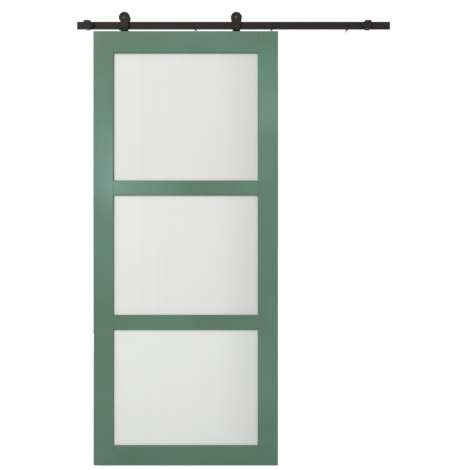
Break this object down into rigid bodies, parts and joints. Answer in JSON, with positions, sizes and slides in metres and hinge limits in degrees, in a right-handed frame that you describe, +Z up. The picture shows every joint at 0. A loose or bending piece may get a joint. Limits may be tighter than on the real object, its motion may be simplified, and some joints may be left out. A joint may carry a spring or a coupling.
{
  "type": "sliding glazed door",
  "caption": "Painted timber door leaf with frosted panes one above another, hung from a flat steel wall rail on grooved rollers, with end stops.",
  "frame": {"origin": "where the axis of the leftmost wall screw meets the wall", "axes": "+X along the rail to the right as seen from the front, +Y into the wall, +Z up"},
  "size_m": [1.476, 0.1022, 2.1305],
  "materials": {
    "painted_timber": "satin green paint",
    "frosted_glass": "etched, milky",
    "glazing_rubber": "matte",
    "black_steel": "satin powder coat",
    "bright_steel": "ground",
    "black_nylon": "matte",
    "black_rubber": "matte"
  },
  "bodies": {
    "track": {"bumper_left": "black_rubber", "bumper_right": "black_rubber", "bumper_screws": "black_steel", "rail": "black_steel", "rail_screws": "black_steel", "rail_spacers": "black_steel", "stop_clamp_screws": "black_steel", "stop_left": "black_steel", "stop_right": "black_steel"},
    "leaf": {"axle_bolt_left": "black_steel", "axle_bolt_right": "black_steel", "axle_bushes_left": "bright_steel", "axle_bushes_right": "bright_steel", "axle_nuts": "black_steel", "bead_bottom_left": "painted_timber", "bead_bottom_lower": "painted_timber", "bead_bottom_right": "painted_timber", "bead_bottom_upper": "painted_timber", "bead_middle_left": "painted_timber", "bead_middle_lower": "painted_timber", "bead_middle_right": "painted_timber", "bead_middle_upper": "painted_timber", "bead_pins": "bright_steel", "bead_top_left": "painted_timber", "bead_top_lower": "painted_timber", "bead_top_right": "painted_timber", "bead_top_upper": "painted_timber", "bearing_inner_ring_left": "bright_steel", "bearing_inner_ring_right": "bright_steel", "bottom_rail": "painted_timber", "foot_screws": "bright_steel", "glass_bottom": "frosted_glass", "glass_middle": "frosted_glass", "glass_top": "frosted_glass", "glazing_seal_bottom": "glazing_rubber", "glazing_seal_middle": "glazing_rubber", "glazing_seal_top": "glazing_rubber", "hanger_bolts": "black_steel", "hanger_foot_left": "black_steel", "hanger_foot_right": "black_steel", "hanger_strap_left": "black_steel", "hanger_strap_right": "black_steel", "lower_middle_rail": "painted_timber", "setting_blocks": "glazing_rubber", "stile_left": "painted_timber", "stile_right": "painted_timber", "top_rail": "painted_timber", "upper_middle_rail": "painted_timber"},
    "left_wheel": {"bearing_balls_left": "bright_steel", "bearing_outer_ring_left": "bright_steel", "bearing_seals_left": "black_rubber", "circlip_left": "bright_steel", "wheel_left": "black_nylon"},
    "right_wheel": {"bearing_balls_right": "bright_steel", "bearing_outer_ring_right": "bright_steel", "bearing_seals_right": "black_rubber", "circlip_right": "bright_steel", "wheel_right": "black_nylon"}
  },
  "joints": [
    {"name": "leaf_slide", "type": "slide", "parent": "track", "child": "leaf", "axis": [1, 0, 0], "range_m": [-0.1288, 0.5726]},
    {"name": "left_wheel_spin", "type": "hinge", "parent": "leaf", "child": "left_wheel", "pos_m": [0.0331, -0.0375, 0.034], "axis": [0, 1, 0], "continuous": true},
    {"name": "right_wheel_spin", "type": "hinge", "parent": "leaf", "child": "right_wheel", "pos_m": [0.5591, -0.0375, 0.034], "axis": [0, 1, 0], "continuous": true}
  ],
  "couplings": [
    {"joint": "left_wheel_spin", "follows": "leaf_slide", "rad_per_m": 60.606},
    {"joint": "right_wheel_spin", "follows": "leaf_slide", "rad_per_m": 60.606}
  ]
}
